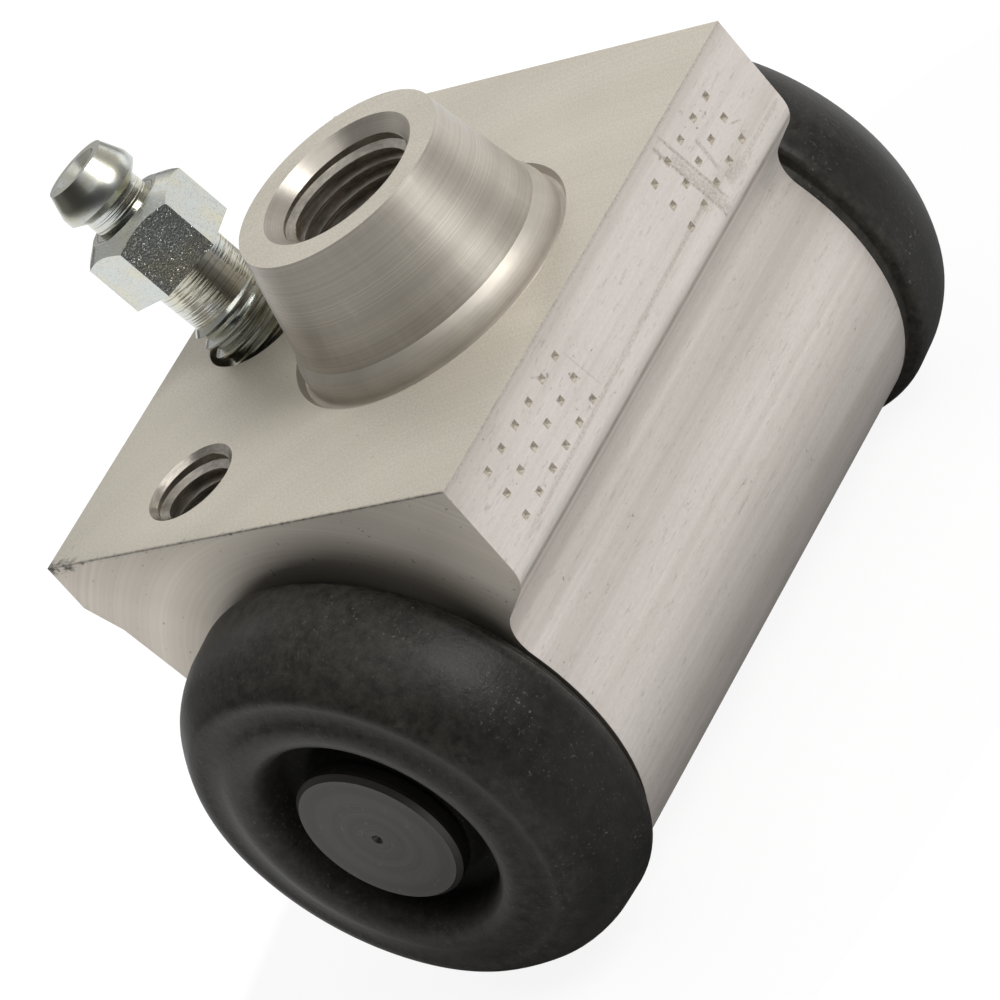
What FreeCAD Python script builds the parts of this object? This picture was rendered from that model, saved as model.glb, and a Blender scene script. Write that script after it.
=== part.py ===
import FreeCAD
import Part
import Sketcher
import math
import os

# Hydraulic wheel cylinder of a drum brake, in millimetres.
# The origin is where the axis of the brake-line boss meets the mounting face. +Z points out of
# that face, towards the backing plate, and X runs along the bore, which lies below the face.

SIZES = (
    # how far a cutting outline reaches past the surface that it cuts
    ("cut_margin", 2.0),
    # flange and barrel, an extruded section cut to length
    ("body_length", 41.8),
    ("flange_left", 23.8),
    ("flange_right", 14.3),
    ("bore_offset", 4.1),
    ("bore_depth", 20.1),
    ("barrel_radius", 15.15),
    ("bore_radius", 10.32),
    ("bore_chamfer", 0.4),
    # right side of the flange, with its rounded lower corner and the root on the barrel
    ("right_side_height", 8.5),
    ("underside_run", 7.4),
    ("underside_drop", 5.44),
    ("right_corner_fillet", 2.6),
    ("right_root_fillet", 3.0),
    # left side of the flange, where the section is thick enough for the bleed port
    ("left_side_height", 3.9),
    ("heel_inset", 1.7),
    ("heel_depth", 6.35),
    ("web_foot_inset", 0.95),
    ("web_foot_height", 0.8),
    ("left_root_fillet", 8.0),
    # turned neck at each end, with the groove that the boot's bead snaps into
    ("neck_radius", 13.6),
    ("neck_length", 3.9),
    ("bead_groove_radius", 12.6),
    ("bead_groove_start", 0.5),
    ("bead_groove_width", 1.8),
    # brake-line boss and its port
    ("boss_height", 10.05),
    ("boss_top_radius", 7.9),
    ("boss_foot_radius", 10.25),
    ("boss_waist_radius", 9.62),
    ("boss_waist_height", 1.9),
    ("boss_groove_radius", 10.9),
    ("boss_groove_floor", 10.6),
    ("boss_groove_depth", 0.5),
    ("boss_foot_fillet", 0.25),
    ("port_radius", 5.0),
    ("port_sink_radius", 5.9),
    ("port_sink_depth", 0.95),
    ("port_thread_depth", 11.0),
    ("port_cone_depth", 2.4),
    ("port_passage_radius", 1.2),
    ("port_passage_end", 5.0),
    # two tapped holes for the bolts through the backing plate
    ("bolt_spacing", 30.0),
    ("bolt_row", 13.5),
    ("bolt_hole_radius", 3.0),
    ("bolt_hole_depth", 9.0),
    ("bolt_hole_chamfer", 0.4),
    # tilted bleed port
    ("bleed_row", 16.9),
    ("bleed_tilt", 13.0),
    ("bleed_hole_radius", 3.5),
    ("bleed_sink_radius", 3.9),
    ("bleed_sink_depth", 1.8),
    ("bleed_thread_depth", 8.6),
    ("bleed_passage_radius", 1.0),
    ("bleed_passage_depth", 17.0),
    # clamp-jaw dents on the right side of the flange, a square lattice of small pyramids
    ("dent_pitch", 2.0),
    ("dent_width", 0.56),
    ("dent_depth", 0.22),
    ("dent_taper", 38.0),
    ("dent_first_row", 2.1),
    ("dent_near_start", -17.27),
    ("dent_far_start", 8.0),
    # pistons
    ("piston_clearance", 0.05),
    ("piston_inner_face", 12.0),
    ("piston_shoulder", 23.5),
    ("piston_chamfer", 0.5),
    ("nose_radius", 5.95),
    ("nose_end", 29.65),
    ("nose_chamfer", 0.35),
    ("nose_dimple_radius", 0.4),
    ("nose_dimple_depth", 0.35),
    ("nose_groove_radius", 4.9),
    ("nose_groove_start", 26.7),
    ("nose_groove_width", 1.6),
    # cup seals and the spring seats that spread them
    ("seal_base", 2.0),
    ("seal_lip_length", 2.8),
    ("seal_wall", 2.07),
    ("seal_lip_edge", 0.7),
    ("expander_clearance", 0.1),
    ("expander_plate", 1.0),
    ("expander_hub_radius", 4.8),
    ("expander_hub_length", 2.6),
    ("expander_hole_radius", 2.4),
    # return spring
    ("spring_radius", 6.4),
    ("spring_wire", 1.2),
    ("spring_turns", 6.0),
    ("spring_clearance", 0.05),
    # dust boots, measured outwards from the flange's end face
    ("boot_gap", 0.05),
    ("boot_lip_radius", 15.0),
    ("boot_lip_length", 1.0),
    ("boot_wall_radius", 16.1),
    ("boot_wall_start", 1.35),
    ("boot_wall_end", 5.9),
    ("boot_wall_end_radius", 15.55),
    ("boot_shoulder_radius", 14.35),
    ("boot_shoulder_end", 7.3),
    ("boot_valley_radius", 13.8),
    ("boot_valley_end", 7.25),
    ("boot_ring_radius", 13.45),
    ("boot_ring_end", 8.7),
    ("boot_crest_radius", 10.2),
    ("boot_crest_end", 9.15),
    ("boot_mouth_radius", 8.45),
    ("boot_mouth_end", 8.8),
    ("boot_throat_radius", 8.0),
    ("boot_thickness", 1.3),
    ("boot_nose_gap", 0.3),
    ("boot_wall_fillet", 1.5),
    ("boot_shoulder_fillet", 0.4),
    ("boot_ring_fillet", 1.0),
    ("boot_crest_fillet", 1.5),
    ("boot_mouth_fillet", 0.7),
    # bleed screw, measured along its own axis from the mounting face
    ("screw_clearance", 0.05),
    ("screw_thread_top", 2.9),
    ("screw_thread_end", 7.5),
    ("screw_shank_radius", 3.0),
    ("screw_stem_radius", 2.6),
    ("screw_stem_end", 9.5),
    ("screw_tip_radius", 0.95),
    ("screw_tip_end", 11.1),
    ("screw_hex_flats", 7.8),
    ("screw_hex_start", 6.65),
    ("screw_hex_end", 11.8),
    ("screw_hex_top_radius", 3.1),
    ("screw_hex_chamfer", 0.95),
    ("screw_hex_chamfer_radius", 4.55),
    ("screw_hex_turn", 24.3),
    ("nipple_neck_radius", 2.3),
    ("nipple_neck_start", 7.15),
    ("nipple_neck_end", 13.15),
    ("nipple_barb_radius", 3.07),
    ("nipple_barb_back", 13.75),
    ("nipple_barb_front", 14.45),
    ("nipple_tip_radius", 2.45),
    ("nipple_end", 16.15),
    ("nipple_bore_radius", 1.15),
    ("nipple_mouth_radius", 1.75),
    ("screw_bore_end", 8.9),
    ("screw_cross_hole_radius", 0.7),
)

# columns of clamp dents near each end of the flange, and their rows
NEAR_DENT_COLUMNS = 6
FAR_DENT_COLUMNS = 5
DENT_ROWS = 3

doc = FreeCAD.newDocument("wheel_cylinder")
sheet = doc.addObject("Spreadsheet::Sheet", "sizes")
for row, (name, value) in enumerate(SIZES, start=1):
    sheet.set("A%d" % row, name)
    sheet.set("B%d" % row, str(value))
    sheet.setAlias("B%d" % row, name)
sheet.recompute()

NAMES = {name for name, value in SIZES}
working = doc.addObject("Spreadsheet::Sheet", "working")


def bound(expression):
    """Turn size names into references to the sheet, for another object's expression."""
    words = []
    word = ""
    for letter in expression + " ":
        if letter.isalnum() or letter == "_":
            word += letter
            continue
        if word:
            words.append("sizes." + word if word in NAMES else word)
            word = ""
        words.append(letter)
    return "".join(words).strip()


def number(expression):
    """Work out an expression on the sheet's sizes."""
    working.set("A1", "=" + bound(expression))
    working.recompute()
    return float(working.get("A1"))


def bind(thing, path, expression):
    thing.setExpression(path, bound(expression))


def new_body(name):
    body = doc.addObject("PartDesign::Body", name)
    body.Label = name
    return body


def origin_feature(body, role):
    for feature in body.Origin.OriginFeatures:
        if feature.Role == role:
            return feature
    raise ValueError(role)


def new_sketch(body, name, plane, lift=None):
    """Attach a sketch to one of the body's own planes, lifted along its normal."""
    sketch = body.newObject("Sketcher::SketchObject", name)
    sketch.AttachmentSupport = (origin_feature(body, plane), [""])
    sketch.MapMode = "FlatFace"
    if lift:
        bind(sketch, "AttachmentOffset.Base.z", lift)
    return sketch


def hold(sketch, kind, geometry, end, expression):
    """Hold one coordinate of a point, or a radius, to an expression."""
    value = number(expression)
    if end is None:
        index = sketch.addConstraint(Sketcher.Constraint(kind, geometry, value))
    else:
        index = sketch.addConstraint(Sketcher.Constraint(kind, geometry, end, value))
    bind(sketch, "Constraints[%d]" % index, expression)


def outline(sketch, points):
    """Close a loop of straight lines through points given as pairs of expressions."""
    spots = [FreeCAD.Vector(number(across), number(up), 0) for across, up in points]
    first = sketch.GeometryCount
    count = len(points)
    for index in range(count):
        sketch.addGeometry(Part.LineSegment(spots[index], spots[(index + 1) % count]))
    for index, (across, up) in enumerate(points):
        here = first + index
        before = first + (index - 1) % count
        sketch.addConstraint(Sketcher.Constraint("Coincident", before, 2, here, 1))
        hold(sketch, "DistanceX", here, 1, across)
        hold(sketch, "DistanceY", here, 1, up)


def ring(sketch, across, up, radius):
    """Draw a circle whose centre and radius are expressions."""
    centre = FreeCAD.Vector(number(across), number(up), 0)
    index = sketch.addGeometry(Part.Circle(centre, FreeCAD.Vector(0, 0, 1), number(radius)))
    hold(sketch, "DistanceX", index, 3, across)
    hold(sketch, "DistanceY", index, 3, up)
    hold(sketch, "Radius", index, None, radius)


def feature(body, kind, name, sketch):
    made = body.newObject("PartDesign::" + kind, name)
    made.Profile = sketch
    return made


def extrude(body, name, sketch, length, midplane=False):
    pad = feature(body, "Pad", name, sketch)
    pad.Midplane = midplane
    bind(pad, "Length", length)
    doc.recompute()
    return pad


def spin(body, kind, name, sketch, axis):
    """Revolve a sketch, or cut its revolution away, about one of the sketch's axes."""
    turned = feature(body, kind, name, sketch)
    turned.ReferenceAxis = (sketch, [axis])
    turned.Angle = 360
    doc.recompute()
    return turned


def round_edges(body, name, base, edges, radius):
    fillet = body.newObject("PartDesign::Fillet", name)
    fillet.Base = (base, edges)
    bind(fillet, "Radius", radius)
    doc.recompute()
    return fillet


def ring_edges(shape, axis, place, radius):
    """Name the circular edges with this radius and this place along an axis (0, 1 or 2)."""
    names = []
    for index, edge in enumerate(shape.Edges, start=1):
        curve = edge.Curve
        if curve.TypeId != "Part::GeomCircle":
            continue
        if abs(curve.Radius - radius) < 0.01 and abs(curve.Center[axis] - place) < 0.01:
            names.append("Edge%d" % index)
    return names


def long_edges(shape):
    """Pair the name of each straight edge along X with where it crosses the section."""
    found = []
    for index, edge in enumerate(shape.Edges, start=1):
        if edge.Curve.TypeId == "Part::GeomLine" and abs(edge.Curve.Direction.x) > 0.999:
            spot = edge.Vertexes[0].Point
            found.append(("Edge%d" % index, spot.y, spot.z))
    return found


def root_edge(shape, side):
    """Name the edge where the flange meets the barrel on one side, -1 or 1 along Y."""
    for name, across, up in long_edges(shape):
        if across * side > 0 and abs(math.hypot(across, up) - sheet.barrel_radius) < 0.01:
            return name
    raise ValueError(side)


def on_bore(body, side=1):
    """Put a body that is modelled about X on the bore axis; side -1 turns it to face -X."""
    bind(body, "Placement.Base.y", "bore_offset")
    bind(body, "Placement.Base.z", "-bore_depth")
    if side < 0:
        body.Placement.Rotation = FreeCAD.Rotation(FreeCAD.Vector(0, 0, 1), 180)


def mirrored(points):
    """The same loop on the other side of the mid-length plane."""
    return [("-(%s)" % across, up) for across, up in points]


# cylinder body: section, turned ends, boss, ports and tapped holes
def make_cylinder_body():
    body = new_body("cylinder_body")
    section = new_sketch(body, "flange_section", "YZ_Plane")
    left_side = "flange_left - bore_offset"
    outline(section, [
        ("-flange_right - bore_offset", "bore_depth"),
        ("-flange_right - bore_offset", "bore_depth - right_side_height"),
        ("-flange_right - bore_offset + underside_run", "bore_depth - right_side_height - underside_drop"),
        ("0", "0"),
        ("barrel_radius - web_foot_inset", "web_foot_height"),
        (left_side + " - heel_inset", "bore_depth - heel_depth"),
        (left_side, "bore_depth - left_side_height"),
        (left_side, "bore_depth"),
    ])
    extrude(body, "flange", section, "body_length", midplane=True)
    barrel_section = new_sketch(body, "barrel_section", "YZ_Plane")
    ring(barrel_section, "0", "0", "barrel_radius")
    barrel = extrude(body, "barrel", barrel_section, "body_length", midplane=True)

    corner = (number("-flange_right - bore_offset"), number("bore_depth - right_side_height"))
    edges = [name for name, across, up in long_edges(barrel.Shape)
             if math.hypot(across - corner[0], up - corner[1]) < 0.01]
    last = round_edges(body, "right_corner", barrel, edges, "right_corner_fillet")
    last = round_edges(body, "right_root", last, [root_edge(last.Shape, -1)], "right_root_fillet")
    round_edges(body, "left_root", last, [root_edge(last.Shape, 1)], "left_root_fillet")

    necks = new_sketch(body, "neck_section", "YZ_Plane")
    ring(necks, "0", "0", "neck_radius")
    extrude(body, "necks", necks, "body_length + 2*neck_length", midplane=True)
    grooves = new_sketch(body, "bead_groove_section", "XZ_Plane")
    start = "body_length/2 + bead_groove_start"
    loop = [
        (start, "bead_groove_radius"),
        (start + " + bead_groove_width", "bead_groove_radius"),
        (start + " + bead_groove_width", "neck_radius + cut_margin"),
        (start, "neck_radius + cut_margin"),
    ]
    outline(grooves, loop)
    outline(grooves, mirrored(loop))
    spin(body, "Groove", "bead_grooves", grooves, "H_Axis")

    trench = new_sketch(body, "boss_groove_section", "XZ_Plane", lift="bore_offset")
    outline(trench, [
        ("boss_waist_radius - cut_margin", "bore_depth - boss_groove_depth"),
        ("boss_groove_floor", "bore_depth - boss_groove_depth"),
        ("boss_groove_radius", "bore_depth"),
        ("boss_groove_radius", "bore_depth + cut_margin"),
        ("boss_waist_radius - cut_margin", "bore_depth + cut_margin"),
    ])
    spin(body, "Groove", "boss_groove", trench, "V_Axis")
    boss_section = new_sketch(body, "boss_section", "XZ_Plane", lift="bore_offset")
    outline(boss_section, [
        ("0", "bore_depth - boss_groove_depth"),
        ("boss_foot_radius", "bore_depth - boss_groove_depth"),
        ("boss_waist_radius", "bore_depth + boss_waist_height"),
        ("boss_top_radius", "bore_depth + boss_height"),
        ("0", "bore_depth + boss_height"),
    ])
    boss = spin(body, "Revolution", "boss", boss_section, "V_Axis")
    foot = ring_edges(boss.Shape, 2, number("bore_depth - boss_groove_depth"), sheet.boss_foot_radius)
    round_edges(body, "boss_foot", boss, foot, "boss_foot_fillet")

    bore = new_sketch(body, "bore_section", "XZ_Plane")
    end = "body_length/2 + neck_length"
    outline(bore, [
        ("-(%s)" % end, "0"),
        (end, "0"),
        (end, "bore_radius + bore_chamfer"),
        (end + " - bore_chamfer", "bore_radius"),
        ("-(%s) + bore_chamfer" % end, "bore_radius"),
        ("-(%s)" % end, "bore_radius + bore_chamfer"),
    ])
    spin(body, "Groove", "bore", bore, "H_Axis")

    port = new_sketch(body, "port_section", "XZ_Plane", lift="bore_offset")
    top = "bore_depth + boss_height"
    floor = top + " - port_thread_depth"
    outline(port, [
        ("0", top),
        ("port_sink_radius", top),
        ("port_radius", top + " - port_sink_depth"),
        ("port_radius", floor),
        ("port_passage_radius", floor + " - port_cone_depth"),
        ("port_passage_radius", "port_passage_end"),
        ("0", "port_passage_end"),
    ])
    spin(body, "Groove", "port", port, "V_Axis")

    bleed = new_sketch(body, "bleed_section", "YZ_Plane")
    bind(bleed, "AttachmentOffset.Base.x", "bleed_row - bore_offset")
    bind(bleed, "AttachmentOffset.Base.y", "bore_depth")
    bleed.AttachmentOffset = FreeCAD.Placement(
        FreeCAD.Vector(0, 0, 0), FreeCAD.Rotation(FreeCAD.Vector(0, 0, 1), -sheet.bleed_tilt))
    bind(bleed, "AttachmentOffset.Rotation.Angle", "bleed_tilt * -1 deg")
    outline(bleed, [
        ("0", "cut_margin"),
        ("bleed_sink_radius", "cut_margin"),
        ("bleed_sink_radius", "-bleed_sink_depth"),
        ("bleed_hole_radius", "-bleed_sink_depth - bleed_sink_radius + bleed_hole_radius"),
        ("bleed_hole_radius", "-bleed_thread_depth"),
        ("bleed_passage_radius", "-bleed_thread_depth - bleed_hole_radius + bleed_passage_radius"),
        ("bleed_passage_radius", "-bleed_passage_depth"),
        ("0", "-bleed_passage_depth"),
    ])
    spin(body, "Groove", "bleed_port", bleed, "V_Axis")

    bolts = new_sketch(body, "bolt_hole_section", "XY_Plane", lift="bore_depth")
    for sign in ("-", ""):
        ring(bolts, sign + "bolt_spacing/2", "bolt_row - bore_offset", "bolt_hole_radius")
    holes = feature(body, "Pocket", "bolt_holes", bolts)
    bind(holes, "Length", "bolt_hole_depth")
    doc.recompute()
    mouths = ring_edges(holes.Shape, 2, sheet.bore_depth, sheet.bolt_hole_radius)
    chamfer = body.newObject("PartDesign::Chamfer", "bolt_hole_mouths")
    chamfer.Base = (holes, mouths)
    bind(chamfer, "Size", "bolt_hole_chamfer")
    doc.recompute()

    for where, start, columns in (
            ("near", "dent_near_start", NEAR_DENT_COLUMNS),
            ("far", "dent_far_start", FAR_DENT_COLUMNS)):
        square = new_sketch(body, where + "_dent_section", "XZ_Plane", lift="flange_right + bore_offset")
        left = start + " - dent_width/2"
        low = "bore_depth - dent_first_row - dent_width/2"
        outline(square, [
            (left, low),
            (left + " + dent_width", low),
            (left + " + dent_width", low + " + dent_width"),
            (left, low + " + dent_width"),
        ])
        dent = feature(body, "Pocket", where + "_dent", square)
        bind(dent, "Length", "dent_depth")
        bind(dent, "TaperAngle", "dent_taper * -1 deg")
        doc.recompute()
        rows = body.newObject("PartDesign::LinearPattern", where + "_dents")
        rows.Originals = [dent]
        rows.Direction = (origin_feature(body, "X_Axis"), [""])
        rows.Occurrences = columns
        bind(rows, "Length", "dent_pitch * %d" % (columns - 1))
        rows.Direction2 = (origin_feature(body, "Z_Axis"), [""])
        rows.Reversed2 = True
        rows.Occurrences2 = DENT_ROWS
        bind(rows, "Length2", "dent_pitch * %d" % (DENT_ROWS - 1))
        body.Tip = rows
        doc.recompute()
    on_bore(body)
    return body


def turned_part(name, points, side=1):
    """A piece turned about the bore axis; points are (distance outwards, radius)."""
    body = new_body(name)
    section = new_sketch(body, name + "_section", "XZ_Plane")
    outline(section, points)
    spin(body, "Revolution", name + "_turned", section, "H_Axis")
    on_bore(body, side)
    return body


# pistons: a skirt in the bore and a slimmer nose that pushes on the brake shoe
def make_piston(name, side):
    skirt = "bore_radius - piston_clearance"
    groove_end = "nose_groove_start + nose_groove_width"
    return turned_part(name, [
        ("piston_inner_face", "0"),
        ("piston_inner_face", skirt + " - piston_chamfer"),
        ("piston_inner_face + piston_chamfer", skirt),
        ("piston_shoulder - piston_chamfer", skirt),
        ("piston_shoulder", skirt + " - piston_chamfer"),
        ("piston_shoulder", "nose_radius"),
        ("nose_groove_start", "nose_radius"),
        ("nose_groove_start", "nose_groove_radius"),
        (groove_end, "nose_groove_radius"),
        (groove_end, "nose_radius"),
        ("nose_end - nose_chamfer", "nose_radius"),
        ("nose_end", "nose_radius - nose_chamfer"),
        ("nose_end", "nose_dimple_radius"),
        ("nose_end - nose_dimple_depth", "0"),
    ], side)


# cup seals: rubber cups whose lips face the fluid between the pistons
def make_cup_seal(name, side):
    skirt = "bore_radius - piston_clearance"
    base = "piston_inner_face - seal_base"
    return turned_part(name, [
        ("piston_inner_face", "0"),
        ("piston_inner_face", skirt),
        (base + " - seal_lip_length", skirt),
        (base + " - seal_lip_length", skirt + " - seal_lip_edge"),
        (base, skirt + " - seal_wall"),
        (base, "0"),
    ], side)


# spring seats: pressed steel cups that spread the seal lips and centre the spring
def make_cup_expander(name, side):
    back = "piston_inner_face - seal_base"
    plate = "bore_radius - piston_clearance - seal_wall - expander_clearance"
    return turned_part(name, [
        (back, "expander_hole_radius"),
        (back, plate),
        (back + " - expander_plate", plate),
        (back + " - expander_plate", "expander_hub_radius"),
        (back + " - expander_plate - expander_hub_length", "expander_hub_radius"),
        (back + " - expander_plate - expander_hub_length", "expander_hole_radius"),
    ], side)


# dust boots: rubber, with a bead in the body's groove, a wall, a rolled front and a lip on the nose
def make_dust_boot(name, side):
    face = "body_length/2"
    bead_start = face + " + bead_groove_start + boot_gap"
    bead_end = face + " + bead_groove_start + bead_groove_width - boot_gap"
    nose_bead_start = "nose_groove_start + boot_nose_gap"
    nose_bead_end = "nose_groove_start + nose_groove_width - boot_nose_gap"
    nose_bead = "nose_groove_radius + boot_nose_gap"
    neck = "neck_radius + boot_gap"
    body = turned_part(name, [
        (face + " + boot_gap", neck),
        (face + " + boot_gap", "boot_lip_radius"),
        (face + " + boot_lip_length", "boot_lip_radius"),
        (face + " + boot_wall_start", "boot_wall_radius"),
        (face + " + boot_wall_end", "boot_wall_end_radius"),
        (face + " + boot_shoulder_end", "boot_shoulder_radius"),
        (face + " + boot_valley_end", "boot_valley_radius"),
        (face + " + boot_ring_end", "boot_ring_radius"),
        (face + " + boot_crest_end", "boot_crest_radius"),
        (face + " + boot_mouth_end", "boot_mouth_radius"),
        (nose_bead_end, "boot_throat_radius"),
        (nose_bead_end, nose_bead),
        (nose_bead_start, nose_bead),
        (nose_bead_start, "boot_throat_radius + boot_thickness"),
        (face + " + boot_mouth_end - boot_thickness", "boot_mouth_radius + boot_thickness"),
        (face + " + boot_ring_end - boot_thickness", "boot_ring_radius - boot_thickness"),
        (face + " + boot_valley_end - boot_thickness", "boot_ring_radius - boot_thickness"),
        (face + " + boot_wall_end", "boot_wall_end_radius - boot_thickness"),
        (bead_end, neck),
        (bead_end, "bead_groove_radius + boot_gap"),
        (bead_start, "bead_groove_radius + boot_gap"),
        (bead_start, neck),
    ], side)
    last = body.Tip
    for place, radius, fillet in (
            ("boot_wall_end", "boot_wall_end_radius", "boot_wall_fillet"),
            ("boot_shoulder_end", "boot_shoulder_radius", "boot_shoulder_fillet"),
            ("boot_ring_end", "boot_ring_radius", "boot_ring_fillet"),
            ("boot_crest_end", "boot_crest_radius", "boot_crest_fillet"),
            ("boot_mouth_end", "boot_mouth_radius", "boot_mouth_fillet")):
        edges = ring_edges(last.Shape, 0, number(face + " + " + place), number(radius))
        last = round_edges(body, name + "_" + fillet, last, edges, fillet)
    return body


# return spring between the two spring seats
def make_return_spring():
    seat = "piston_inner_face - seal_base - expander_plate - spring_clearance"
    rise = "(2*(%s) - spring_wire)" % seat
    coil = doc.addObject("Part::Helix", "spring_coil")
    bind(coil, "Height", rise)
    bind(coil, "Pitch", rise + "/spring_turns")
    bind(coil, "Radius", "spring_radius")
    wire = doc.addObject("Part::Circle", "spring_wire_section")
    bind(wire, "Radius", "spring_wire/2")
    wire.Placement.Rotation = FreeCAD.Rotation(FreeCAD.Vector(1, 0, 0), 90)
    bind(wire, "Placement.Base.x", "spring_radius")
    doc.recompute()
    spring = doc.addObject("Part::Sweep", "return_spring")
    spring.Label = "return_spring"
    spring.Sections = [wire]
    spring.Spine = (coil, ["Edge%d" % (index + 1) for index in range(len(coil.Shape.Edges))])
    spring.Solid = True
    spring.Frenet = True
    spring.Placement.Rotation = FreeCAD.Rotation(FreeCAD.Vector(0, 1, 0), 90)
    bind(spring, "Placement.Base.x", "-" + rise + "/2")
    bind(spring, "Placement.Base.y", "bore_offset")
    bind(spring, "Placement.Base.z", "-bore_depth")
    return spring


# bleed screw: hex, barbed nipple, shank, thread and a cone that seals the bleed port
def make_bleed_screw():
    body = new_body("bleed_screw")
    shank = new_sketch(body, "screw_section", "XZ_Plane")
    thread = "bleed_hole_radius - screw_clearance"
    outline(shank, [
        ("0", "-screw_tip_end"),
        ("screw_tip_radius", "-screw_tip_end"),
        ("screw_stem_radius", "-screw_stem_end"),
        ("screw_stem_radius", "-screw_thread_end"),
        (thread, "-screw_thread_end + %s - screw_stem_radius" % thread),
        (thread, "screw_thread_top - %s + screw_shank_radius" % thread),
        ("screw_shank_radius", "screw_thread_top"),
        ("screw_shank_radius", "nipple_neck_start"),
        ("nipple_neck_radius", "nipple_neck_start"),
        ("nipple_neck_radius", "nipple_neck_end"),
        ("nipple_barb_radius", "nipple_barb_back"),
        ("nipple_barb_radius", "nipple_barb_front"),
        ("nipple_tip_radius", "nipple_end"),
        ("0", "nipple_end"),
    ])
    spin(body, "Revolution", "screw_turned", shank, "V_Axis")
    hexagon = new_sketch(body, "hex_section", "XY_Plane", lift="screw_hex_start")
    corner = "(screw_hex_flats/2/cos(30))"
    outline(hexagon, [
        ("%s*cos(%d)" % (corner, 60 * step), "%s*sin(%d)" % (corner, 60 * step)) for step in range(6)])
    extrude(body, "hex", hexagon, "screw_hex_end - screw_hex_start")
    chamfer = new_sketch(body, "hex_chamfer_section", "XZ_Plane")
    outline(chamfer, [
        ("screw_hex_top_radius", "screw_hex_end"),
        ("screw_hex_chamfer_radius", "screw_hex_end - screw_hex_chamfer"),
        ("screw_hex_chamfer_radius", "screw_hex_end"),
    ])
    spin(body, "Groove", "hex_chamfer", chamfer, "V_Axis")
    bore = new_sketch(body, "screw_bore_section", "XZ_Plane")
    outline(bore, [
        ("0", "-screw_bore_end"),
        ("nipple_bore_radius", "-screw_bore_end"),
        ("nipple_bore_radius", "nipple_end - nipple_mouth_radius + nipple_bore_radius"),
        ("nipple_mouth_radius", "nipple_end"),
        ("0", "nipple_end"),
    ])
    spin(body, "Groove", "screw_bore", bore, "V_Axis")
    cross = new_sketch(body, "cross_hole_section", "XZ_Plane")
    ring(cross, "0", "-(screw_thread_end + screw_stem_end)/2", "screw_cross_hole_radius")
    hole = feature(body, "Pocket", "cross_hole", cross)
    hole.Midplane = True
    bind(hole, "Length", "2*screw_stem_radius + cut_margin")
    doc.recompute()
    spun = FreeCAD.Rotation(FreeCAD.Vector(0, 0, 1), sheet.screw_hex_turn)
    tilted = FreeCAD.Rotation(FreeCAD.Vector(1, 0, 0), -sheet.bleed_tilt)
    body.Placement.Rotation = tilted.multiply(spun)
    bind(body, "Placement.Base.y", "bleed_row")
    return body


parts = [make_cylinder_body()]
for word, side in (("left", -1), ("right", 1)):
    parts.append(make_piston(word + "_piston", side))
    parts.append(make_cup_seal(word + "_cup_seal", side))
    parts.append(make_cup_expander(word + "_cup_expander", side))
    parts.append(make_dust_boot(word + "_dust_boot", side))
parts.append(make_return_spring())
parts.append(make_bleed_screw())
doc.recompute()

doc.removeObject(working.Name)

for thing in doc.Objects:
    if "Invalid" in thing.State or "Error" in thing.State:
        raise RuntimeError("%s failed: %s" % (thing.Name, thing.State))
for part in parts:
    if part.Shape.isNull() or not part.Shape.isValid():
        raise RuntimeError("%s has no valid shape" % part.Label)

os.makedirs("parts", exist_ok=True)
for part in parts:
    part.Shape.exportStep("parts/%s.step" % part.Label)
    print(part.Label, len(part.Shape.Solids), round(part.Shape.Volume, 2))
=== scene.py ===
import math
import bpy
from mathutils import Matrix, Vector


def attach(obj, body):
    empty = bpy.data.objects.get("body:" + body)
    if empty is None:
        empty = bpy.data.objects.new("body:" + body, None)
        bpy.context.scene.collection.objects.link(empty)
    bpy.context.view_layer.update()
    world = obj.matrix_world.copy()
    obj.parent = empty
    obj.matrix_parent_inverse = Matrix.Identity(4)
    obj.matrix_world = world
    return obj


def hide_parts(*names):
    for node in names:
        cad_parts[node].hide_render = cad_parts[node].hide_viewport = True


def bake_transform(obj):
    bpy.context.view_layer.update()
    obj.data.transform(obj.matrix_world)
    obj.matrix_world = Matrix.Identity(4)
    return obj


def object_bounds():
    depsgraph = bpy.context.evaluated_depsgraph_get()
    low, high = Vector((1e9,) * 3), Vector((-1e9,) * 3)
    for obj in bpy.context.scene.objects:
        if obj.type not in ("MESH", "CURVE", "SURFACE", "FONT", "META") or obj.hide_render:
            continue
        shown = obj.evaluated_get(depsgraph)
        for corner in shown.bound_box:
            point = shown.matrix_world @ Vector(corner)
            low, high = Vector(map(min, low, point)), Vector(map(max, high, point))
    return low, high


bl_info = {
    "name": "Wheel Cylinder",
    "version": (1, 0, 0),
    "blender": (4, 5, 0),
    "location": "3D View > Sidebar > Wheel Cylinder",
    "description": "Finishes, threads and rubber boots for the wheel cylinder of a drum brake",
    "category": "Object",
}

import bmesh
import bpy
from mathutils import Matrix, Vector

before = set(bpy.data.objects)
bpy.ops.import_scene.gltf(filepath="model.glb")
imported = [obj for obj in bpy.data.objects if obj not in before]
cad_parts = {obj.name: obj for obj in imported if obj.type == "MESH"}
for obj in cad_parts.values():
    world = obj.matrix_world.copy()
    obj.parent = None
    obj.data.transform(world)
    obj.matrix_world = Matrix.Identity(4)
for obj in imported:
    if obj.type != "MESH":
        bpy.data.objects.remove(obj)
CAD_BOX = [list(corner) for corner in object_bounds()]

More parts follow.
